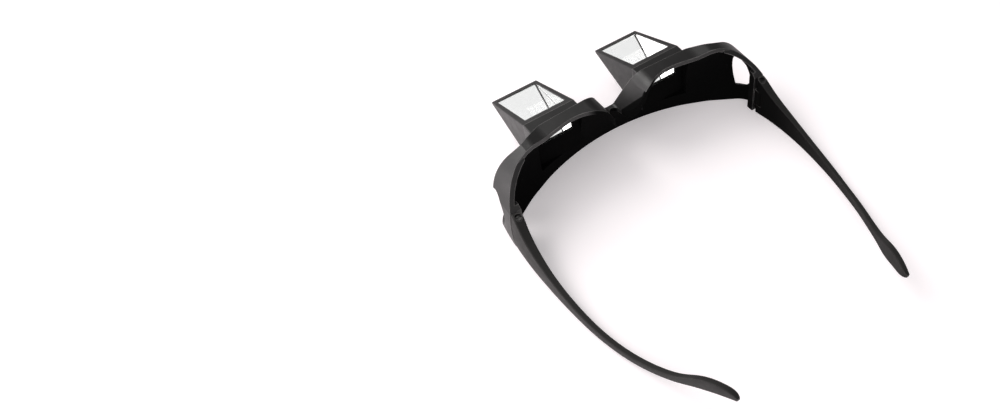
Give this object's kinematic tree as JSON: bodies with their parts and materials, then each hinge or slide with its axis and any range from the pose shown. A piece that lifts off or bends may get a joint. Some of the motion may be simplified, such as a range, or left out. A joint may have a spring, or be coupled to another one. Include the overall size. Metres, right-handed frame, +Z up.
{
  "type": "prism bed glasses",
  "caption": "Wrap-front prism bed glasses lying upside down, with wedge prism housings, side windows and folding temples.",
  "frame": {"origin": "on the table under the centre of the whole object, lying upside down as pictured", "axes": "+X across to the right temple in the picture, +Y towards the prisms, +Z up from the table; worn, the part is turned half a turn about Y"},
  "size_m": [0.1598, 0.2108, 0.0448],
  "materials": {
    "shell_black": "soft-touch matte moulded black",
    "housing_black": "soft-touch matte moulded black",
    "mask_black": "matte black",
    "temple_black": "satin moulded black",
    "prism_clear": "polished clear acrylic",
    "mirror_coat": "silvered",
    "screw_dark": "blackened steel",
    "insert_brass": "turned brass"
  },
  "bodies": {
    "front": {"front_shell": "shell_black", "prism_housing_left": "housing_black", "prism_housing_right": "housing_black", "prism_left": "prism_clear", "prism_right": "prism_clear", "prism_mirror_left": "mirror_coat", "prism_mirror_right": "mirror_coat", "eye_mask_left": "mask_black", "eye_mask_right": "mask_black"},
    "left_temple": {"temple_left": "temple_black", "hinge_screw_left": "screw_dark", "hinge_insert_left": "insert_brass"},
    "right_temple": {"temple_right": "temple_black", "hinge_screw_right": "screw_dark", "hinge_insert_right": "insert_brass"}
  },
  "joints": [
    {"name": "right_temple_fold", "type": "hinge", "parent": "front", "child": "right_temple", "pos_m": [0.0751, 0.0276, 0.012], "axis": [0, 0, -1], "range_deg": [0, 88]},
    {"name": "left_temple_fold", "type": "hinge", "parent": "front", "child": "left_temple", "pos_m": [-0.0751, 0.0276, 0.012], "axis": [0, 0, 1], "range_deg": [0, 74]}
  ]
}
